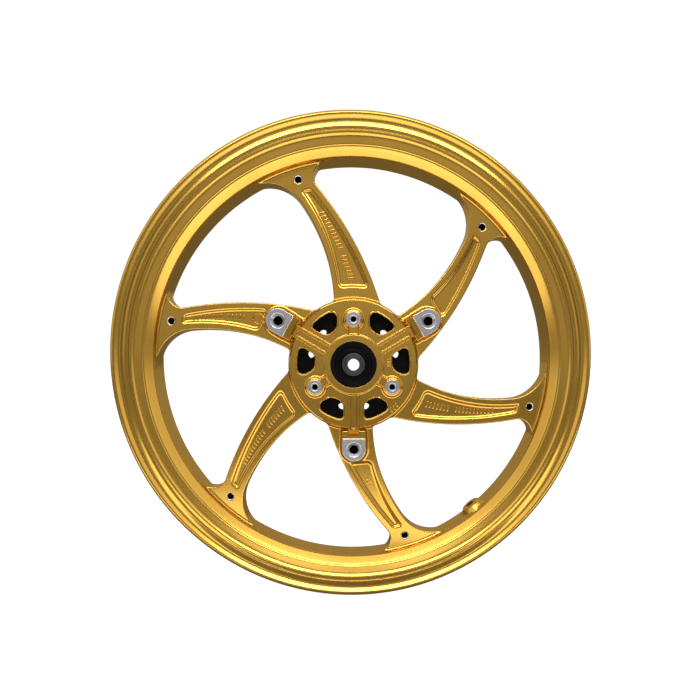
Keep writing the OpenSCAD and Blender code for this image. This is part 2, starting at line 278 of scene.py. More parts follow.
def solid(field, low, high, step):
    """Points, faces and normals of a field's surface, drawn on a grid and then moved onto the true shape."""
    axes = [np.arange(l - 1.5 * step, h + 1.5 * step, step, dtype=np.float32) for l, h in zip(low, high)]
    value = field(*np.meshgrid(*axes, indexing="ij"))
    points, faces = surface_net(value)
    points = points * step + [axis[0] for axis in axes]
    for _ in range(4):
        slope = gradient(field, points)
        size = np.maximum((slope ** 2).sum(1), 0.2)
        move = slope * (field(*points.T) / size)[:, None]
        length = np.linalg.norm(move, axis=1, keepdims=True)
        points -= move * np.minimum(1, 0.4 * step / np.maximum(length, 1e-9))
    if 2 * len(faces) > MOST_TRIANGLES:
        points, faces = thinned(points, faces, MOST_TRIANGLES / (2 * len(faces)))
    return points, faces, unit(gradient(field, points))


def finish_piece(piece, node, material, body="wheel"):
    """Gives a piece its material and its body, and hides the CAD node that it stands for."""
    piece.data.materials.append(material)
    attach(piece, body)
    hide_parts(node)


def placed_piece(name, points, faces, degrees=0, mirrored=False):
    """An object from points in millimetres, face up, turned about the axle."""
    return new_piece(name, place(turned(points, degrees, mirrored)), faces[:, ::-1] if mirrored else faces)


def solid_piece(name, shape, degrees=0, mirrored=False, **values):
    """An object from what solid() gives, with named values kept on its vertices for the material."""
    points, faces, normals = shape
    piece = placed_piece(name, points, faces, degrees, mirrored)
    piece.data.normals_split_custom_set_from_vertices(place(turned(normals, degrees, mirrored)).tolist())
    for key, value in values.items():
        attribute = piece.data.attributes.new(key, "FLOAT", "POINT")
        attribute.data.foreach_set("value", value(*points.T).astype(np.float32))
    return piece


# ---- turned pieces ----


def arc(centre, r, start, end, steps):
    return [tuple(np.array(centre) + polar(r, start + (end - start) * i / steps)) for i in range(steps + 1)]


def rounded(corners, steps=4):
    """A closed outline from (radius, height, rounding) corners; a plain pair is kept as a sharp point."""
    outline = []
    for i, corner in enumerate(corners):
        b = np.array(corner[:2], float)
        if len(corner) == 2 or not corner[2]:
            outline.append(tuple(b))
            continue
        u = np.array(corners[i - 1][:2], float) - b
        v = np.array(corners[(i + 1) % len(corners)][:2], float) - b
        reach_u, reach_v = np.linalg.norm(u), np.linalg.norm(v)
        u, v = u / reach_u, v / reach_v
        half = math.acos(float(np.clip(u @ v, -1, 1))) / 2
        r = min(corner[2], 0.49 * min(reach_u, reach_v) * math.tan(half))
        middle = (u + v) / np.linalg.norm(u + v)
        centre = b + middle * r / math.sin(half)
        p, q = b + u * r / math.tan(half) - centre, b + v * r / math.tan(half) - centre
        start = math.atan2(p[1], p[0])
        turn = math.atan2(p[0] * q[1] - p[1] * q[0], float(p @ q))
        outline += [tuple(centre + r * np.array([math.cos(start + turn * k / steps),
                                                 math.sin(start + turn * k / steps)]))
                    for k in range(steps + 1)]
    return outline


def lathe(outline, angles):
    """Points and quads of a closed outline of (radius, height) turned through a full set of angles."""
    angles = np.radians(np.asarray(angles, float))
    rows = np.asarray(outline, float)
    r, a = rows[:, 0][:, None], rows[:, 1][:, None]
    points = np.stack([r * np.cos(angles), r * np.sin(angles), a + 0 * angles], -1)
    n, m = len(rows), len(angles)
    i, j = np.meshgrid(np.arange(n), np.arange(m), indexing="ij")
    i2, j2 = (i + 1) % n, (j + 1) % m
    faces = np.stack([i * m + j, i * m + j2, i2 * m + j2, i2 * m + j], -1).reshape(-1, 4)
    area = sum(rows[k - 1][0] * rows[k][1] - rows[k][0] * rows[k - 1][1] for k in range(n))
    return points.reshape(-1, 3), faces if area > 0 else faces[:, ::-1]


def turned_piece(name, outline, segments, mirrored=False):
    """A ring about the axle, shaded smooth with true flats."""
    points, faces = lathe(outline, np.arange(segments) * 360 / segments)
    piece = placed_piece(name, points, faces, 0, mirrored)
    piece.modifiers.new("flats", "WEIGHTED_NORMAL").keep_sharp = True
    return piece


# ---- materials ----

TOOL_PITCH = 0.45
BARE_EDGE = 0.15  # how far bare metal runs past a pad's countersink, and the painted shade past its hole
DARK_EDGE = 0.12  # how far the painted shade runs past the small holes


class Nodes:
    """A small helper that adds and links nodes in one material or world."""

    def __init__(self, owner):
        self.owner = owner
        owner.use_nodes = True
        self.tree = owner.node_tree

    def add(self, kind, inputs=None, **settings):
        node = self.tree.nodes.new(kind)
        for key, value in settings.items():
            setattr(node, key, value)
        for key, value in (inputs or {}).items():
            self.put(node, key, value)
        return node

    def put(self, node, key, value):
        if isinstance(value, bpy.types.NodeSocket):
            self.tree.links.new(value, node.inputs[key])
        else:
            node.inputs[key].default_value = value

    def math(self, operation, a, b=0.0, c=0.0):
        return self.add("ShaderNodeMath", {0: a, 1: b, 2: c}, operation=operation).outputs[0]

    def place(self):
        return self.add("ShaderNodeTexCoord").outputs["Object"]

    def noise(self, scale, detail=2.0, roughness=0.5, vector=None):
        inputs = {"Scale": scale, "Detail": detail, "Roughness": roughness, "Vector": vector or self.place()}
        return self.add("ShaderNodeTexNoise", inputs).outputs["Fac"]

    def spread(self, value, low, high, to_low, to_high):
        inputs = {"Value": value, "From Min": low, "From Max": high, "To Min": to_low, "To Max": to_high}
        return self.add("ShaderNodeMapRange", inputs).outputs["Result"]

    def mix(self, share, a, b):
        node = self.add("ShaderNodeMix", data_type="RGBA")
        for socket, value in ((node.inputs[0], share), (node.inputs[6], a), (node.inputs[7], b)):
            if isinstance(value, bpy.types.NodeSocket):
                self.tree.links.new(value, socket)
            else:
                socket.default_value = value
        return node.outputs[2]

    def blend(self, share, a, b):
        """Mix for plain numbers, as mix is for colours."""
        return self.add("ShaderNodeMix", {0: share, 2: a, 3: b}).outputs[0]

    def bump(self, height, distance, strength):
        inputs = {"Height": height, "Distance": distance, "Strength": strength}
        return self.add("ShaderNodeBump", inputs).outputs["Normal"]

    def attribute(self, name):
        return self.add("ShaderNodeAttribute", attribute_name=name).outputs["Fac"]

    def surface(self, **values):
        for key, value in values.items():
            self.put(self.tree.nodes["Principled BSDF"], key.replace("_", " "), value)
        return self.owner


def forged_gold():
    """Satin gold coating over forged metal.

    A piece's own values say where it is machined bare and where painted shade makes the inside of a hole
    near-black.
    """
    s = Nodes(bpy.data.materials.new("forged_gold"))
    grain = s.noise(1900, 3, 0.6)
    cloud = s.noise(14, 3)
    gold = s.mix(s.spread(cloud, 0.3, 0.7, 0, 1), (0.58, 0.312, 0.034, 1), (0.68, 0.38, 0.052, 1))
    gold = s.mix(s.spread(grain, 0.4, 0.75, 0, 0.25), gold, (0.80, 0.54, 0.15, 1))
    bare = s.math("GREATER_THAN", s.attribute("machined"), 0.0)
    # Painted shade: inside drilled holes the colour turns near-black, rough and not metallic, in place of the
    # shade deep in a hole.
    inside = s.math("GREATER_THAN", s.attribute("threads"), 0.0)
    rings = s.math("SINE", s.math("MULTIPLY", s.attribute("turning"), 2 * math.pi / TOOL_PITCH))
    silver = s.mix(s.spread(rings, -1, 1, 0, 1), (0.50, 0.49, 0.49, 1), (0.66, 0.65, 0.64, 1))
    colour = s.mix(inside, s.mix(bare, gold, silver), (0.012, 0.011, 0.010, 1))
    coat_roughness = s.spread(grain, 0.3, 0.7, 0.20, 0.27)
    bare_roughness = s.spread(rings, -1, 1, 0.24, 0.36)
    roughness = s.blend(inside, s.blend(bare, coat_roughness, bare_roughness), 0.9)
    normal = s.bump(s.blend(bare, grain, rings), 0.00001, 0.25)
    lit = s.math("SUBTRACT", 1, inside)
    return s.surface(Base_Color=colour, Roughness=roughness, Metallic=lit, Normal=normal,
                     Coat_Weight=s.math("MULTIPLY", lit, 0.3), Coat_Roughness=0.16,
                     Specular_IOR_Level=0.1, Specular_Tint=(0.85, 0.68, 0.38, 1))


def rubber(name, colour, roughness, grain_scale):
    s = Nodes(bpy.data.materials.new(name))
    grain = s.noise(grain_scale, 4, 0.6)
    dust = s.noise(60, 3)
    dark = (*colour, 1)
    light = tuple(1.8 * c + 0.001 for c in colour) + (1,)
    tone = s.mix(s.spread(dust, 0.35, 0.75, 0, 1), dark, light)
    return s.surface(Base_Color=tone, Roughness=s.spread(grain, 0.3, 0.7, roughness - 0.08, roughness + 0.08),
                     Normal=s.bump(grain, 0.00005, 0.4), Specular_IOR_Level=0.1)


def turned_metal(name, colour, roughness, pitch):
    """Bare metal with fine marks that run round the axle."""
    s = Nodes(bpy.data.materials.new(name))
    axes = s.add("ShaderNodeSeparateXYZ", {0: s.place()}).outputs
    from_axle = s.math("SQRT", s.math("ADD", s.math("POWER", axes[0], 2.0), s.math("POWER", axes[2], 2.0)))
    reach = s.add("ShaderNodeCombineXYZ", {0: from_axle, 1: axes[1]}).outputs[0]
    marks = s.noise(1 / (pitch * MM), 2, 0.6, reach)
    haze = s.noise(90, 2)
    dark = tuple(0.86 * c for c in colour) + (1,)
    tone = s.mix(s.spread(marks, 0.3, 0.7, 0, 1), dark, (*colour, 1))
    rough = s.math("ADD", s.spread(marks, 0.3, 0.7, roughness - 0.05, roughness + 0.05),
                   s.spread(haze, 0.3, 0.7, -0.03, 0.03))
    return s.surface(Base_Color=tone, Roughness=rough, Metallic=1.0, Normal=s.bump(marks, 0.00002, 0.4))


GOLD = forged_gold()
CUSH_RUBBER = rubber("cush_rubber", (0.0015, 0.0018, 0.0018), 0.75, 700)
SEAL_RUBBER = rubber("seal_rubber", (0.0015, 0.0015, 0.002), 0.42, 1200)
BEARING_STEEL = turned_metal("bearing_steel", (0.55, 0.55, 0.57), 0.2, 0.35)
SHIELD_STEEL = turned_metal("shield_steel", (0.36, 0.36, 0.38), 0.32, 0.3)
COLLAR_STEEL = turned_metal("collar_steel", (0.10, 0.10, 0.105), 0.34, 0.5)
CAGE_BRASS = turned_metal("cage_brass", (0.56, 0.40, 0.16), 0.3, 0.3)


# ---- rim ----

FRONT_OUTLINE = [
    (BARREL_R + 7.1, BARREL_HALF_W + 9.7), (BARREL_R + 7.7, BARREL_HALF_W + 9.9),
    (BARREL_R + 8.2, BARREL_HALF_W + 9.9), (BARREL_R + 9.2, BARREL_HALF_W + 10.8),
    (BARREL_R + 10.2, BARREL_HALF_W + 10.9), (BARREL_R + 15.8, BARREL_HALF_W + 11.4),
    (BARREL_R + 16.7, HALF_W - 5.1), (BARREL_R + 18.6, HALF_W - 3.5),
    (BARREL_R + 19.6, HALF_W - 3.3), (BARREL_R + 21.9, HALF_W - 3.6),
    (BARREL_R + 22.6, HALF_W - 3.3), (BARREL_R + 23.6, HALF_W - 2.6),
    (BARREL_R + 24.2, HALF_W - 2.7), (BARREL_R + 26.4, HALF_W - 3.3),
    (RIM_R - 9.2, HALF_W - 3.6), (RIM_R - 7.8, HALF_W - 3.1),
    (RIM_R - 4.6, HALF_W - 0.3), (RIM_R - 3.5, HALF_W), (RIM_R - 2.1, HALF_W - 0.6),
    (RIM_R - 0.6, HALF_W - 2.3), (RIM_R, HALF_W - 4.4),
]
TYRE_OUTLINE = [
    (RIM_R - 0.2, HALF_W - 5.1), (RIM_R - 1, HALF_W - 5.6), (RIM_R - 2.4, HALF_W - 5.8),
    (RIM_R - 5.5, HALF_W - 6.3), (SEAT_R + 2.5, HALF_W - 6.3), (SEAT_R + 0.8, HALF_W - 6.9),
    (SEAT_R + 0.1, HALF_W - 8.3), (SEAT_R - 0.7, HALF_W - 15.5), (SEAT_R - 2.4, HALF_W - 17),
    (BARREL_R + 8, 10.5), (BARREL_R + 6, 9.2), (BARREL_R + 5.5, 7.2),
]
BAND_R = 4
VALVE_BOSS_HEIGHT = 5.5
VALVE_BOSS_R = 9
VALVE_BOSS_FOOT = 5
VALVE_DRILL_REACH = 12
VALVE_SIDES = 64
FINE_HALF_ARC, FINE_STEP, COARSE_STEP = 7, 0.25, 1.6  # degrees, near the valve and elsewhere


def smooth_line(points, passes=2):
    """An open line with its corners cut, its ends kept."""
    for _ in range(passes):
        cut = [points[0]]
        for p, q in zip(points, points[1:]):
            p, q = np.array(p), np.array(q)
            cut += [tuple(0.75 * p + 0.25 * q), tuple(0.25 * p + 0.75 * q)]
        points = cut + [points[-1]]
    return points


def rim_outline():
    band = arc((BARREL_R + BAND_R, BARREL_HALF_W + 1), BAND_R, 180, 135, 8)
    half = band[:-1] + smooth_line([band[-1]] + FRONT_OUTLINE + TYRE_OUTLINE)
    barrel = [(BARREL_R, a) for a in np.linspace(-BARREL_HALF_W, BARREL_HALF_W, 31)[1:-1]]
    return barrel + half + [(r, -a) for r, a in reversed(half)]


def valve_boss(points):
    """Raises a flat-topped boss around the valve hole on the barrel's inner face."""
    x, y, a = points.T
    r = np.hypot(x, y)
    along = BARREL_R * (np.arctan2(y, x) - math.radians(VALVE_ANGLE))
    across = np.hypot(along, a)
    share = np.clip((VALVE_BOSS_R + VALVE_BOSS_FOOT - across) / VALVE_BOSS_FOOT, 0, 1)
    rise = VALVE_BOSS_HEIGHT * share ** 2 * (3 - 2 * share)
    rise = np.where((r < BARREL_R + 8) & (np.abs(a) < BARREL_HALF_W + 3.5), rise, 0)
    flat_r = (BARREL_R - VALVE_BOSS_HEIGHT) / np.cos(along / BARREL_R)
    new_r = np.where(rise > 0, np.maximum(r - rise, np.minimum(flat_r, r)), r)
    return np.stack([x * new_r / r, y * new_r / r, a], 1)


def drill(piece, prism):
    """Cuts a closed prism, given as points and faces, out of a piece."""
    cutter = new_piece("cutter", *prism)
    modifier = piece.modifiers.new("drill", "BOOLEAN")
    modifier.operation = "DIFFERENCE"
    modifier.object = cutter
    mesh = bpy.data.meshes.new_from_object(piece.evaluated_get(bpy.context.evaluated_depsgraph_get()))
    piece.modifiers.remove(modifier)
    piece.data = mesh
    bpy.data.objects.remove(cutter)


def valve_hole():
    """A bar along the valve's own line, a little longer than the metal is thick."""
    n = VALVE_SIDES
    turns = np.radians(np.arange(n) * 360 / n)
    reach = (BARREL_R - VALVE_DRILL_REACH, BARREL_R + VALVE_DRILL_REACH)
    ends = [np.stack([r + 0 * turns, VALVE_HOLE_R * np.cos(turns), VALVE_HOLE_R * np.sin(turns)], 1)
            for r in reach]
    middles = np.array([[r, 0, 0] for r in reach])
    faces = []
    for i in range(n):
        j = (i + 1) % n
        faces += [(j, i, 2 * n), (i, j, n + i), (n + j, n + i, j), (n + i, n + j, 2 * n + 1)]
    return place(turned(np.concatenate(ends + [middles]), VALVE_ANGLE)), faces


def make_rim():
    fine = np.arange(VALVE_ANGLE - FINE_HALF_ARC, VALVE_ANGLE + FINE_HALF_ARC, FINE_STEP)
    coarse = np.arange(VALVE_ANGLE + FINE_HALF_ARC, VALVE_ANGLE + 360 - FINE_HALF_ARC, COARSE_STEP)
    points, faces = lathe(rim_outline(), np.concatenate([fine, coarse]))
    piece = new_piece("rim_body", place(valve_boss(points)), faces)
    drill(piece, valve_hole())
    piece.data.set_sharp_from_angle(angle=math.radians(40))
    piece.modifiers.new("flats", "WEIGHTED_NORMAL").keep_sharp = True
    finish_piece(piece, "rim", GOLD)


# ---- spokes ----

SPOKE_GRID = 0.64
SPOKE_LOW, SPOKE_HIGH = (44, -50, -16), (BARREL_R + 0.6, 64, 18)
BURIED = 0.05  # how far under its neighbour's surface a spoke's blend runs
LINE_START, LINE_END = DRUM_R - 5, BARREL_R + 5
POCKET_WALL = (5.0, 6.8)  # near the drum and near the barrel
POCKET_DEPTH = 2.6
POCKET_SLOPE = 0.85
POCKET_TIP_R = TIP_HOLE_PITCH_R - 10.5
POCKET_ROOT_R = DRUM_R + 10
POCKET_CORNER_R = (2.5, 6)  # at the tip and at the root
PAD_END_R = 97
BACK_POCKET_DEPTH = 8
BACK_POCKET_WALL = 5.5
BACK_CORNER_R = (4, 6)  # at the tip and at the root
FOOT_FILLET_R = 3  # where a spoke meets the barrel, and a pad its spoke
ROOT_FILLET_R = 2.4
TIP_CHAMFER = 0.8
LEAD_AT = polar(*LEAD_ARC_AT)
TRAIL_AT = polar(*TRAIL_ARC_AT)
PAD_SLOPE = (23, 25.4)  # heights at the drum's edge and at the pad
PAD_DRAFT = 0.12
PAD_CUT = 0.35  # the depth of the machined face
PAD_HOLE_SHADE_FROM = 3.2  # how far below the pad's top the painted shade inside the hole begins
MARK_DEPTH = 0.3  # how far a raised mark reaches into the metal
BAR_SIDES = 16
BAR_PITCH = 3.5
BAR_LEAN = 12
BAR_WIDTH, BAR_HEIGHT = 1.5, 1.1
LONG_ROWS = ((83, 106, 6), (112, 150, 5))  # first and last radius and the bars' length
BAR_ROWS = {
    2: LONG_ROWS, 3: ((116, 132, 4.6), (137, 163, 4.4)), 4: LONG_ROWS, 5: ((116, 125, 5),), 6: LONG_ROWS
}
RING_SPOKE = 3
RING_AT = polar(103, -12)
RING_SIZE = (5.6, 4.2, 1.8)
RING_SIDES = 48


def height_line(r, ends):
    """A face's height: the first value near the hub and the second at the barrel."""
    return ends[0] + (ends[1] - ends[0]) * (r - LINE_START) / (LINE_END - LINE_START)


def edge_distances(x, y):
    lead = np.hypot(x - LEAD_AT[0], y - LEAD_AT[1]) - LEAD_ARC_R
    trail = TRAIL_ARC_R - np.hypot(x - TRAIL_AT[0], y - TRAIL_AT[1])
    return lead, trail


def with_fillet(edge, x, y, arc_at, arc_r, fillet_r, side):
    """Fills the corner between an edge and the barrel back to a circle; side is 1 for the leading edge."""
    centre = meet(BARREL_R - fillet_r, arc_at, arc_r + side * fillet_r)
    outwards = centre / np.linalg.norm(centre)
    to_edge = side * (arc_at - centre) / np.linalg.norm(arc_at - centre)
    px, py = x - centre[0], y - centre[1]
    turn = outwards[0] * to_edge[1] - outwards[1] * to_edge[0]
    along_out = (px * to_edge[1] - py * to_edge[0]) / turn
    along_edge = (outwards[0] * py - outwards[1] * px) / turn
    corner = (along_out > 0) & (along_edge > 0)
    return np.where(corner, fillet_r - np.hypot(px, py), edge)


def spoke_plan(x, y):
    lead, trail = edge_distances(x, y)
    lead = with_fillet(lead, x, y, LEAD_AT, LEAD_ARC_R, LEAD_FILLET_R, 1)
    return np.maximum(lead, with_fillet(trail, x, y, TRAIL_AT, TRAIL_ARC_R, TRAIL_FILLET_R, -1))


def drum_side(r, a):
    """The hub's drum and the cone that joins it to the plate."""
    cone = ((r - DRUM_R) * CONE_RISE + (a - SPOKE_FRONT[0]) * CONE_RUN) / math.hypot(CONE_RUN, CONE_RISE)
    return both(r - DRUM_R, cone, 2)


def pad_frame(x, y):
    """Distances along and across the pad's own line from the axle."""
    c, s = polar(1, RIB_ANGLE - TIP_ANGLE)
    return x * c + y * s, y * c - x * s


def pad_field(x, y, a):
    u, v = pad_frame(x, y)
    side = np.where(u > PAD_X, np.hypot(u - PAD_X, v), np.abs(v)) - PAD_R - PAD_DRAFT * (PAD_TOP - a)
    boss = both(both(side, PAD_INNER_X - u, 0.6), a - PAD_TOP, 0.7)
    rise = PAD_SLOPE[0] + (PAD_SLOPE[1] - PAD_SLOPE[0]) * (u - DRUM_R) / (PAD_INNER_X - DRUM_R)
    slope = both(both(side + 0.5, DRUM_R - u), both(a - rise, u - PAD_INNER_X - 1), 0.5)
    return both(either(boss, slope, 0.4), -a, 2)


def spoke_field(padded):
    pocket_root = PAD_END_R if padded else POCKET_ROOT_R

    def field(x, y, a):
        r = np.hypot(x, y)
        plan = spoke_plan(x, y)
        top, bottom = height_line(r, SPOKE_FRONT), height_line(r, SPOKE_BACK)
        metal = both(both(plan, a - top, 1.1), bottom - a, 3)
        drum = both(both(drum_side(r, a), DRUM_BOTTOM - a, 1) + BURIED, plan - 5)
        metal = either(metal, drum, ROOT_FILLET_R)
        barrel = both(both(BARREL_R + BURIED - r, plan - 3), both(a - BARREL_HALF_W - 1, -a - BARREL_HALF_W))
        metal = either(metal, barrel, FOOT_FILLET_R)
        if padded:
            metal = either(metal, pad_field(x, y, a), FOOT_FILLET_R)
        inner = np.maximum(*edge_distances(x, y))
        wall = POCKET_WALL[0] + (POCKET_WALL[1] - POCKET_WALL[0]) * (r - DRUM_R) / (BARREL_R - DRUM_R)
        pocket = both(inner + wall, r - POCKET_TIP_R, POCKET_CORNER_R[0])
        pocket = both(pocket, pocket_root - r, POCKET_CORNER_R[1])
        walls = (pocket + POCKET_SLOPE * np.maximum(top - a, -1)) / math.hypot(1, POCKET_SLOPE)
        metal = less(metal, both(walls, top - POCKET_DEPTH - a, 1.2), 1.0)
        back = both(inner + BACK_POCKET_WALL, r - POCKET_TIP_R, BACK_CORNER_R[0])
        back = both(back, pocket_root - r, BACK_CORNER_R[1])
        metal = less(metal, both(back, a - bottom - BACK_POCKET_DEPTH, 3), 1.2)
        tip = np.hypot(x - TIP_HOLE_PITCH_R, y)
        tip = np.minimum(tip - TIP_HOLE_R, (tip - TIP_HOLE_R - TIP_CHAMFER + top - a) / math.sqrt(2))
        metal = less(metal, tip, 0.3)
        if padded:
            u, v = pad_frame(x, y)
            hole = np.hypot(u - PAD_X, v)
            sink = (hole - PAD_COUNTERSINK_R + PAD_TOP - a) / math.sqrt(2)
            shaft = both(hole - PAD_HOLE_R, PAD_TOP - PAD_HOLE_DEPTH - a)
            metal = less(metal, np.minimum(shaft, sink), 0.3)
        metal = both(metal, r - BARREL_R - 0.2)
        return both(metal, DRUM_R - 3 - r)

    return field


def bar(length, width, height):
    """A raised bar with round ends and sloping sides, on the plane a = 0 and along y.

    Like solid() it gives points, faces and normals. Each layer has its growth, height and tilt.
    """
    n = BAR_SIDES
    turns = np.radians((np.arange(n) + 0.5) * 360 / n)
    out = np.stack([np.cos(turns), np.sin(turns)], 1)
    ring = out * width / 2
    ring[:, 1] += np.sign(ring[:, 1]) * (length - width) / 2
    layers = ((0.35, -MARK_DEPTH, 0.4), (0.15, 0.7 * height, 0.8), (-0.1, height, 3.0))
    points = [np.column_stack([ring + grow * out, np.full(n, a)]) for grow, a, _ in layers]
    normals = [np.column_stack([out, np.full(n, tilt)]) for _, _, tilt in layers]
    points = np.concatenate(points + [[[0, 0, height]]])
    normals = np.concatenate(normals + [[[0, 0, 1]]])
    faces = [(k + i, k + (i + 1) % n, k + n + (i + 1) % n, k + n + i) for k in (0, n) for i in range(n)]
    faces += [(2 * n + i, 2 * n + (i + 1) % n, 3 * n, 3 * n) for i in range(n)]
    return points, np.array(faces), unit(normals)


def raised_ring(outer, inner, height):
    """A plain raised ring on the plane a = 0, as points, faces and normals."""
    n = RING_SIDES
    outline = [(inner - 0.25, -MARK_DEPTH), (inner, 0.7 * height), (inner + 0.2, height),
               (outer - 0.2, height), (outer, 0.7 * height), (outer + 0.25, -MARK_DEPTH)]
    points, faces = lathe(outline, np.arange(n) * 360 / n)
    tilts = np.repeat([(-1, 0.4), (-1, 0.8), (-0.2, 1), (0.2, 1), (1, 0.8), (1, 0.4)], n, axis=0)
    return points, faces, unit(np.column_stack([unit(points[:, :2]) * tilts[:, :1], tilts[:, 1]]))


def moved(shape, at, degrees):
    points, faces, normals = shape
    return turned(points, degrees) + at, faces, turned(normals, degrees)


def joined(shapes):
    """Several (points, faces, normals) as one, with triangles only."""
    points, faces, normals, start = [], [], [], 0
    for p, f, n in shapes:
        if f.shape[1] == 4:
            f = np.concatenate([f[:, [0, 1, 2]], f[:, [0, 2, 3]]])
            f = f[(f[:, 0] != f[:, 2]) & (f[:, 1] != f[:, 2])]
        points.append(p)
        faces.append(f + start)
        normals.append(n)
        start += len(p)
    return np.concatenate(points), np.concatenate(faces), np.concatenate(normals)


def centre_line(r):
    """The point midway between a spoke's two edges at radius r, and the spoke's direction there."""
    def middle(r):
        turns = np.radians(np.linspace(-45, 25, 1401))
        lead, trail = edge_distances(r * np.cos(turns), r * np.sin(turns))
        turn = turns[np.argmin(np.abs(lead - trail))]
        return r * np.array([math.cos(turn), math.sin(turn)])
    ahead = middle(r + 2) - middle(r - 2)
    return middle(r), math.degrees(math.atan2(ahead[1], ahead[0]))


def pocket_floor(r):
    return height_line(r, SPOKE_FRONT) - POCKET_DEPTH


def bar_row(start, end, length):
    """Plain slanted bars along a pocket's floor."""
    bars = []
    for r in np.arange(start, end, BAR_PITCH):
        (x, y), heading = centre_line(r)
        bars.append(moved(bar(length, BAR_WIDTH, BAR_HEIGHT), (x, y, pocket_floor(r)), heading - BAR_LEAN))
    return bars


def spoke_marks(number):
    """The raised marks on one spoke."""
    marks = []
    for row in BAR_ROWS.get(number, ()):
        marks += bar_row(*row)
    if number == RING_SPOKE:
        marks.append(moved(raised_ring(*RING_SIZE), (*RING_AT, pocket_floor(math.hypot(*RING_AT))), 0))
    return marks


def make_spokes():
    def from_hole(x, y):
        u, v = pad_frame(x, y)
        return np.hypot(u - PAD_X, v)

    def turning(x, y, a):
        return np.minimum(from_hole(x, y), np.hypot(x - TIP_HOLE_PITCH_R, y))

    def pad_machined(x, y, a):
        hole = from_hole(x, y)
        sink = np.minimum(PAD_COUNTERSINK_R + BARE_EDGE - hole, a - PAD_TOP + 5)
        return np.maximum(np.maximum(a - PAD_TOP + PAD_CUT, sink), tip_machined(x, y, a))

    def tip_machined(x, y, a):
        return np.minimum(TIP_HOLE_R + TIP_CHAMFER + 0.05 - np.hypot(x - TIP_HOLE_PITCH_R, y), a - 8)

    # Painted shade: these mark the inside of the pad hole and the tip hole, which the gold material draws
    # near-black.
    def pad_threads(x, y, a):
        hole = np.minimum(PAD_HOLE_R + BARE_EDGE - from_hole(x, y), a - PAD_TOP + PAD_HOLE_DEPTH + 1)
        return np.maximum(np.minimum(hole, PAD_TOP - PAD_HOLE_SHADE_FROM - a), tip_threads(x, y, a))

    def tip_threads(x, y, a):
        return np.minimum(TIP_HOLE_R + DARK_EDGE - np.hypot(x - TIP_HOLE_PITCH_R, y), 9 - a)

    plain = solid(spoke_field(False), SPOKE_LOW, SPOKE_HIGH, SPOKE_GRID)
    padded = solid(spoke_field(True), SPOKE_LOW, (*SPOKE_HIGH[:2], PAD_TOP), SPOKE_GRID)
    for number in range(1, SPOKES + 1):
        shape, machined, threads = plain, tip_machined, tip_threads
        if number % 2:
            shape, machined, threads = padded, pad_machined, pad_threads
        shape = joined([shape] + spoke_marks(number))
        angle = TIP_ANGLE + SPOKE_STEP * (number - 1)
        values = {"turning": turning, "machined": machined, "threads": threads}
        piece = solid_piece(f"spoke_{number}_body", shape, angle, **values)
        finish_piece(piece, f"spoke_{number}", GOLD)


# ---- hub ----

HUB_GRID = 0.7
NOSE_R = 28.5
RIB_HALF_W = 5.6
RIB_TOP = 29
RIB_END = 64
GROOVE_HALF_W = 3.0
GROOVE_END = RIB_END - 2.2
GROOVE_FLOOR = 25.8
BOSS_R = 7.2
BOSS_TOP = 29
BOSS_COLLAR_R = 9.4
BOSS_COLLAR_TOP = 26.5
BOSS_HOLE_R = 2.5
BOSS_CHAMFER = 1.3
NECK_HALF_W = 4.5
NECK_TOP = 27.5
WINDOW_INNER_R = 37.4
WINDOW_OUTER_R = 54.4
WINDOW_TO_RIB = 10.4
WINDOW_TO_BOSS = 15.6
WINDOW_BOTTOM = 12
LIP_W, LIP_H = 1.1, 0.3
HUB_BAR = (4.5, 1.3, 0.8)
BARS_BESIDE_X, BARS_BESIDE_Y = 34, (5.4, 2.2, -1)
BARS_BELOW_R, BARS_BELOW_TURNS, BARS_BELOW_LEAN = 57.4, (-50, -46.5, -43), 70


def near_line(x, y, angle):
    """Distances along and to the nearest of three lines from the axle, the first at this angle."""
    third = 2 * math.pi / 3
    turn = np.arctan2(y, x) - math.radians(angle)
    turn = np.abs((turn + third / 2) % third - third / 2)
    r = np.hypot(x, y)
    return r * np.cos(turn), r * np.sin(turn)


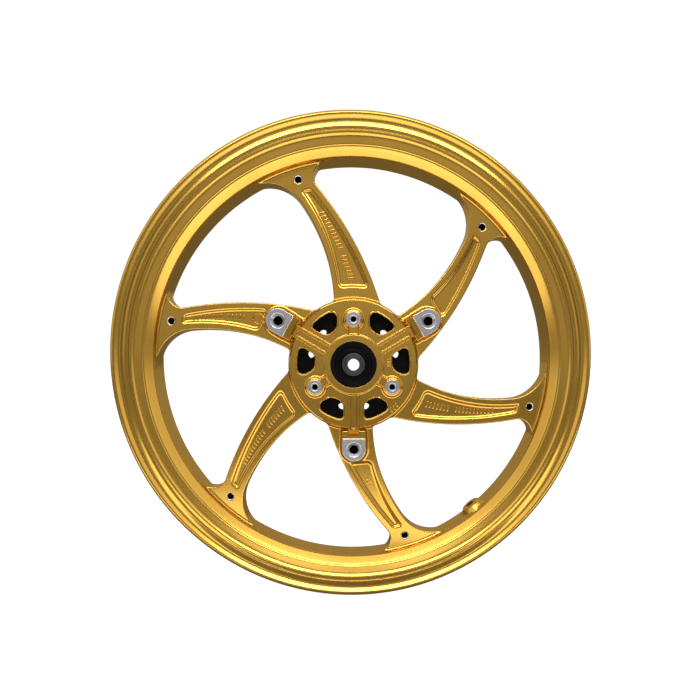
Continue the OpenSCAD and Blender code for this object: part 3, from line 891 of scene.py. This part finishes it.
def hub_field(x, y, a):
    r = np.hypot(x, y)
    rib_u, rib_v = near_line(x, y, RIB_ANGLE)
    boss_u, boss_v = near_line(x, y, RIB_ANGLE + 60)
    below = PLATE_CORE - a
    metal = both(both(drum_side(r, a), a - PLATE_TOP, 1.5), DRUM_BOTTOM - a, 1.2)
    cavity = both(both(TUBE_R - r, r - DRUM_R + DRUM_WALL), a - PLATE_BOTTOM, 3)
    cavity = less(cavity, both(rib_v - WEB_HALF_T, DRUM_BOTTOM + 2 - a, 1), 3)
    metal = less(metal, cavity, 1.0)
    metal = either(metal, both(both(r - TUBE_R, -TUBE_END - a, 1), a), 1)
    rib = both(both(rib_v - RIB_HALF_W, rib_u - RIB_END, 1), a - RIB_TOP, 0.5)
    metal = either(metal, both(rib, below), 0.6)
    groove = both(both(rib_v - GROOVE_HALF_W, NOSE_R + 1 - r, 0.8), rib_u - GROOVE_END, 2.5)
    metal = less(metal, both(groove, GROOVE_FLOOR - a, 0.7), 0.4)
    centre = np.hypot(boss_u - BOSS_X, boss_v)
    collar = both(centre - BOSS_COLLAR_R, a - BOSS_COLLAR_TOP, 1.6)
    neck = both(both(boss_v - NECK_HALF_W, a - NECK_TOP, 1.0), boss_u - BOSS_X)
    boss = either(collar, both(centre - BOSS_R, a - BOSS_TOP, 0.9), 0.8)
    boss = either(boss, neck, 1.0)
    metal = either(metal, both(boss, below), 2.2)
    metal = either(metal, both(both(r - NOSE_R, a - TUBE_END, 1.0), below), 1.5)
    window = both(both(r - WINDOW_OUTER_R, WINDOW_TO_BOSS - boss_v, 9),
                  both(WINDOW_TO_RIB - rib_v, WINDOW_INNER_R - r, 5), 5)
    lip = both(window - LIP_W, a - PLATE_TOP - LIP_H, 0.4)
    metal = either(metal, both(lip, below), 0.5)
    metal = less(metal, both(window, WINDOW_BOTTOM - a), 0.4)
    side = np.abs(a)
    bore = np.minimum(r - BEARING_R + 3, both(r - BEARING_R, BEARING_BACK - side))
    bore = np.minimum(bore, both(r - SEAL_R, BEARING_FRONT - side))
    metal = less(metal, bore, 0.5)
    chamfer = (centre - BOSS_HOLE_R - BOSS_CHAMFER + BOSS_TOP - a) / math.sqrt(2)
    return less(metal, both(np.minimum(centre - BOSS_HOLE_R, chamfer), below), 0.3)


def hub_marks():
    """Six plain bars on the plate, beside the seal and below it on the right."""
    marks = [moved(bar(*HUB_BAR), (BARS_BESIDE_X, y, PLATE_TOP), 90) for y in BARS_BESIDE_Y]
    for turn in BARS_BELOW_TURNS:
        marks.append(moved(bar(*HUB_BAR), (*polar(BARS_BELOW_R, turn), PLATE_TOP), turn + BARS_BELOW_LEAN))
    return marks


def make_hub():
    def turning(x, y, a):
        u, v = near_line(x, y, RIB_ANGLE + 60)
        return np.hypot(u - BOSS_X, v)

    def machined(x, y, a):
        return np.minimum(BOSS_R - 0.1 - turning(x, y, a), a - BOSS_TOP + 2)

    # Painted shade: marks the inside of each boss hole, which the gold material draws near-black.
    def threads(x, y, a):
        deep = np.minimum(BOSS_TOP - BOSS_CHAMFER - 0.1 - a, a - PLATE_BOTTOM - 0.5)
        return np.minimum(BOSS_HOLE_R + DARK_EDGE - turning(x, y, a), deep)

    corner = np.array([DRUM_R, DRUM_R, TUBE_END])
    shape = joined([solid(hub_field, -corner, corner, HUB_GRID)] + hub_marks())
    piece = solid_piece("hub_body", shape, turning=turning, machined=machined, threads=threads)
    finish_piece(piece, "hub", GOLD)


# ---- cush rubbers ----

RUBBER_GRID = 0.8
RUBBER_INNER_R = 28.3
RUBBER_OUTER_R = 57.7
RUBBER_MIDDLE = -2.5
RUBBER_HALF_W = 17.5
RUBBER_TURN = 51  # degrees from the web's middle to the face that a lug would push
RUBBER_HOLE_R = 4.2
RUBBER_HOLE_AT = polar(43.5, 15.5)


def damper_field(x, y, a):
    """A rubber block on the +y side of the web that lies along x."""
    r = np.hypot(x, y)
    turn = math.radians(RUBBER_TURN)
    free_face = y * math.cos(turn) - x * math.sin(turn)
    plan = both(both(RUBBER_INNER_R - r, r - RUBBER_OUTER_R), both(WEB_HALF_T - y, free_face), 2.5)
    block = both(plan, np.abs(a - RUBBER_MIDDLE) - RUBBER_HALF_W, 1.5)
    hole = np.hypot(x - RUBBER_HOLE_AT[0], y - RUBBER_HOLE_AT[1]) - RUBBER_HOLE_R
    return less(block, hole, 1.0)


def make_dampers():
    back, front = RUBBER_MIDDLE - RUBBER_HALF_W, RUBBER_MIDDLE + RUBBER_HALF_W
    shape = solid(damper_field, (10, 0, back), (60, 50, front), RUBBER_GRID)
    points, faces, normals = shape
    flip = np.array([1, -1, 1])
    other = (points * flip, faces[:, ::-1], normals * flip)
    for number in range(1, 7):
        angle = RIB_ANGLE + 120 * ((number - 1) // 2)
        piece = solid_piece(f"cush_damper_{number}_body", shape if number % 2 else other, angle)
        finish_piece(piece, f"cush_damper_{number}", CUSH_RUBBER)


# ---- bearings, seals and collars ----

BALL_R = 2.975
BALL_COUNT = 7
BALL_PITCH_R = 12.25
BALL_SIDES = 48
POLE_R = 0.004  # a ball's ends are tiny rings, so that all its faces have four corners
TURNED_SIDES = 160
SPACER_SIDES = 128
INNER_RACE_R = 9.75
OUTER_RACE_INNER_R = 14.75
GROOVE_R = BALL_R + 0.05
CAGE_R = (10.9, 13.6)
CAGE_HEIGHT = (-4.6, 2)  # about the balls' middle
CAGE_POCKET_FROM = -3.1
CAGE_GRID = 0.28


def race_outline(inner, outer, groove_outside):
    """A bearing ring with its ball groove, on its outside or its inside."""
    wall = outer if groove_outside else inner
    reach = abs(BALL_PITCH_R - wall)
    half = math.degrees(math.acos(reach / GROOVE_R))
    middle = 180 if groove_outside else 0
    groove = arc((BALL_PITCH_R, BEARING_MID), GROOVE_R, middle + half, middle - half, 12)
    low, high = (inner, BEARING_BACK, 0.5), (inner, BEARING_FRONT, 0.5)
    far_low, far_high = (outer, BEARING_BACK, 0.5), (outer, BEARING_FRONT, 0.5)
    if groove_outside:
        return rounded([low, far_low] + groove + [far_high, high])
    return rounded([low, far_low, far_high, high] + groove)


def shield_outline(inner_side):
    low = BEARING_BACK + 0.4 if inner_side else BEARING_FRONT - 0.9
    inner, outer = INNER_RACE_R + 0.3, OUTER_RACE_INNER_R
    up = -1 if inner_side else 1
    base = low + 0.25 - 0.25 * up
    steps = [(inner, 0.0), (inner + 0.8, 0.0), (inner + 1.2, 0.2), (outer - 0.9, 0.2), (outer - 0.6, 0.0),
             (outer, 0.0), (outer, 0.3), (outer - 0.5, 0.3), (outer - 0.8, 0.5), (inner + 1.1, 0.5),
             (inner + 0.7, 0.3), (inner, 0.3)]
    return rounded([(r, base + up * h, 0.12) for r, h in steps], 3)


def seal_outline():
    lip = COLLAR_R + 0.05
    return rounded([
        (SEAL_R, SEAL_BACK, 0.3), (SEAL_R, SEAL_FRONT, 0.7), (SEAL_R - 4, SEAL_FRONT, 0.6),
        (SEAL_R - 5, SEAL_FRONT - 1.4, 0.8), (lip + 3.6, SEAL_FRONT - 1.8, 0.8),
        (lip + 2.3, SEAL_FRONT - 0.2, 0.5), (lip + 0.9, SEAL_FRONT - 0.2, 0.4),
        (lip, SEAL_FRONT - 1.4, 0.3), (lip, SEAL_FRONT - 2.3, 0.2), (lip + 1.4, SEAL_BACK + 0.6, 0.4),
        (SEAL_R - 3.5, SEAL_BACK + 0.6, 0.2), (SEAL_R - 3.5, SEAL_BACK, 0.2)
    ], 5)


def collar_outline():
    face = COLLAR_FRONT
    return rounded([
        (AXLE_R, BEARING_FRONT, 0.2), (INNER_RACE_R - 0.5, BEARING_FRONT, 0.3),
        (COLLAR_R, BEARING_FRONT + 1.2, 0.5), (COLLAR_R, face - 0.8, 0.3), (COLLAR_R - 0.8, face, 0.3),
        (COLLAR_R - 2.0, face, 0.1), (COLLAR_R - 2.2, face - 0.25, 0.1), (COLLAR_R - 2.5, face - 0.25, 0.1),
        (COLLAR_R - 2.7, face, 0.1), (AXLE_R + 1.9, face, 0.1), (AXLE_R + 1.7, face - 0.2, 0.1),
        (AXLE_R + 1.4, face - 0.2, 0.1), (AXLE_R + 1.2, face, 0.1), (AXLE_R + 0.8, face, 0.2),
        (AXLE_R, face - 0.9, 0.2)
    ], 3)


def spacer_outline():
    end = BEARING_BACK
    return rounded([(AXLE_R, -end, 0.5), (SPACER_R, -end, 0.8), (SPACER_R, end, 0.8), (AXLE_R, end, 0.5)], 4)


def ball_centres():
    return [(*polar(BALL_PITCH_R, 360 * i / BALL_COUNT), BEARING_MID) for i in range(BALL_COUNT)]


def make_balls(name, mirrored):
    outline = arc((0, 0), BALL_R, -90, 90, 24)
    outline[0], outline[-1] = (POLE_R, -BALL_R), (POLE_R, BALL_R)
    ball, ball_faces = lathe(outline, np.arange(BALL_SIDES) * 360 / BALL_SIDES)
    points = np.concatenate([ball + centre for centre in ball_centres()])
    faces = np.concatenate([ball_faces + i * len(ball) for i in range(BALL_COUNT)])
    return placed_piece(name, points, faces, 0, mirrored)


def cage_field(x, y, a):
    """A crown cage: a ring beside the balls, with a post between each ball and the next."""
    r = np.hypot(x, y)
    step = 2 * math.pi / BALL_COUNT
    turn = (np.arctan2(y, x) + step / 2) % step - step / 2
    from_ball = np.hypot(r * np.cos(turn) - BALL_PITCH_R, r * np.sin(turn))
    height = a - BEARING_MID
    ring = both(both(CAGE_R[0] - r, r - CAGE_R[1], 0.3),
                both(CAGE_HEIGHT[0] - height, height - CAGE_HEIGHT[1], 0.3), 0.3)
    return less(ring, both(from_ball - GROOVE_R, CAGE_POCKET_FROM - height, 0.4), 0.25)


def make_bearings():
    reach = CAGE_R[1]
    low, high = (BEARING_MID + height for height in CAGE_HEIGHT)
    cage = solid(cage_field, (-reach, -reach, low), (reach, reach, high), CAGE_GRID)
    outer_race = race_outline(OUTER_RACE_INNER_R, BEARING_R, False)
    inner_race = race_outline(AXLE_R, INNER_RACE_R, True)
    rings = [
        ("outer_race", outer_race, "bearing_steel", BEARING_STEEL, "wheel"),
        ("inner_race", inner_race, "bearing_steel", BEARING_STEEL, "axle_core"),
        ("outer_shield", shield_outline(False), "shield_steel", SHIELD_STEEL, "wheel"),
        ("inner_shield", shield_outline(True), "shield_steel", SHIELD_STEEL, "wheel"),
        ("dust_seal", seal_outline(), "seal_rubber", SEAL_RUBBER, "wheel"),
        ("axle_collar", collar_outline(), "collar_steel", COLLAR_STEEL, "axle_core"),
    ]
    for side, mirrored in (("right", False), ("left", True)):
        for name, outline, slot, material, body in rings:
            piece = turned_piece(f"{name}_{side}_body", outline, TURNED_SIDES, mirrored)
            finish_piece(piece, f"{name}_{side}", material, body)
        balls = make_balls(f"ball_set_{side}_body", mirrored)
        finish_piece(balls, f"ball_set_{side}", BEARING_STEEL, f"balls_{side}")
        piece = solid_piece(f"ball_cage_{side}_body", cage, 0, mirrored)
        finish_piece(piece, f"ball_cage_{side}", CAGE_BRASS, f"balls_{side}")
    piece = turned_piece("bearing_spacer_body", spacer_outline(), SPACER_SIDES)
    finish_piece(piece, "bearing_spacer", COLLAR_STEEL, "axle_core")


# ---- floor, light and camera ----

VIEW_FROM = 0.602
PITCH, YAW = 7.26, -1.8
LENS = 30.55
SHIFT = (-0.032, 0.129)
SKY_LEVELS = ((-1, 0.6), (-0.94, 0.52), (-0.85, 0.12), (-0.7, 0.14), (-0.58, 1.2), (-0.3, 0.9), (0, 0.8),
              (0.5, 0.5), (1, 0.45))
SKY_TOP = 0.35
SKY_SEEN = 1.05
LIGHTS = (
    ("light_above", (1.6, 0.36), 14, (0, -0.92, 1.15), (0, 0, 0)),
    ("light_below", (1.6, 0.24), 2.5, (0, -0.25, -0.225), (0, -0.25, 1)),
)
FLOOR_R = 30
FLOOR_SIDES = 96
FLOOR_GAP = 0.0004


def make_floor():
    """A grey round floor that looks plain white to the camera, so that it lights the metal only dimly."""
    s = Nodes(bpy.data.materials.new("floor_paint"))
    tone = s.mix(s.spread(s.noise(3, 2), 0.3, 0.7, 0, 1), (0.21, 0.21, 0.21, 1), (0.23, 0.23, 0.23, 1))
    seen = s.add("ShaderNodeLightPath").outputs["Is Camera Ray"]
    paint = s.surface(Base_Color=tone, Roughness=0.8, Emission_Color=(1, 1, 1, 1), Emission_Strength=seen)
    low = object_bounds()[0][2] - FLOOR_GAP
    edge = [polar(FLOOR_R, i * 360 / FLOOR_SIDES) for i in range(FLOOR_SIDES)]
    points = [(0, 0, low)] + [(x, y, low) for x, y in edge]
    faces = [(0, 1 + i, 1 + (i + 1) % FLOOR_SIDES) for i in range(FLOOR_SIDES)]
    floor = new_piece("floor", points, faces)
    floor.data.materials.append(paint)


def area_light(name, size, power, at, towards):
    light = bpy.data.lights.new(name, "AREA")
    light.shape = "RECTANGLE"
    light.size, light.size_y = size
    light.energy = power
    lamp = bpy.data.objects.new(name, light)
    lamp.location = at
    lamp.visible_camera = False
    lamp.rotation_euler = (Vector(towards) - Vector(at)).to_track_quat("-Z", "Y").to_euler()
    bpy.context.scene.collection.objects.link(lamp)


def make_light():
    """A dim studio with bright panels overhead and along the floor; looked at directly, it is plain white."""
    s = Nodes(bpy.data.worlds.new("studio"))
    towards = s.add("ShaderNodeSeparateXYZ", {0: s.add("ShaderNodeTexCoord").outputs["Generated"]}).outputs
    glow = s.add("ShaderNodeValToRGB", {0: s.spread(towards["Y"], -1, 1, 0, 1)})
    glow.color_ramp.interpolation = "EASE"
    first, last = glow.color_ramp.elements
    first.color, last.color = (SKY_LEVELS[0][1],) * 3 + (1,), (SKY_LEVELS[-1][1],) * 3 + (1,)
    for y, level in SKY_LEVELS[1:-1]:
        glow.color_ramp.elements.new((y + 1) / 2).color = (level, level, level, 1)
    steep = s.math("MULTIPLY", towards["Z"], towards["Z"])
    overhead = s.math("MULTIPLY_ADD", steep, SKY_TOP, 1)
    strength = s.math("MULTIPLY", glow.outputs[0], overhead)
    seen = s.add("ShaderNodeLightPath").outputs["Is Camera Ray"]
    sky = s.tree.nodes["Background"]
    s.put(sky, "Strength", s.blend(seen, strength, SKY_SEEN))
    s.put(sky, "Color", (1, 1, 1, 1))
    bpy.context.scene.world = s.owner
    for settings in LIGHTS:
        area_light(*settings)
    bpy.context.scene.view_settings.view_transform = "Standard"


def make_camera():
    camera = bpy.data.cameras.new("camera")
    camera.lens = LENS
    camera.shift_x, camera.shift_y = SHIFT
    holder = bpy.data.objects.new("camera", camera)
    holder.location = (0, -VIEW_FROM, 0)
    holder.rotation_euler = (math.radians(90 - PITCH), 0, math.radians(YAW))
    bpy.context.scene.collection.objects.link(holder)
    bpy.context.scene.camera = holder


make_camera()
make_rim()
make_spokes()
make_hub()
make_dampers()
make_bearings()
make_floor()
make_light()
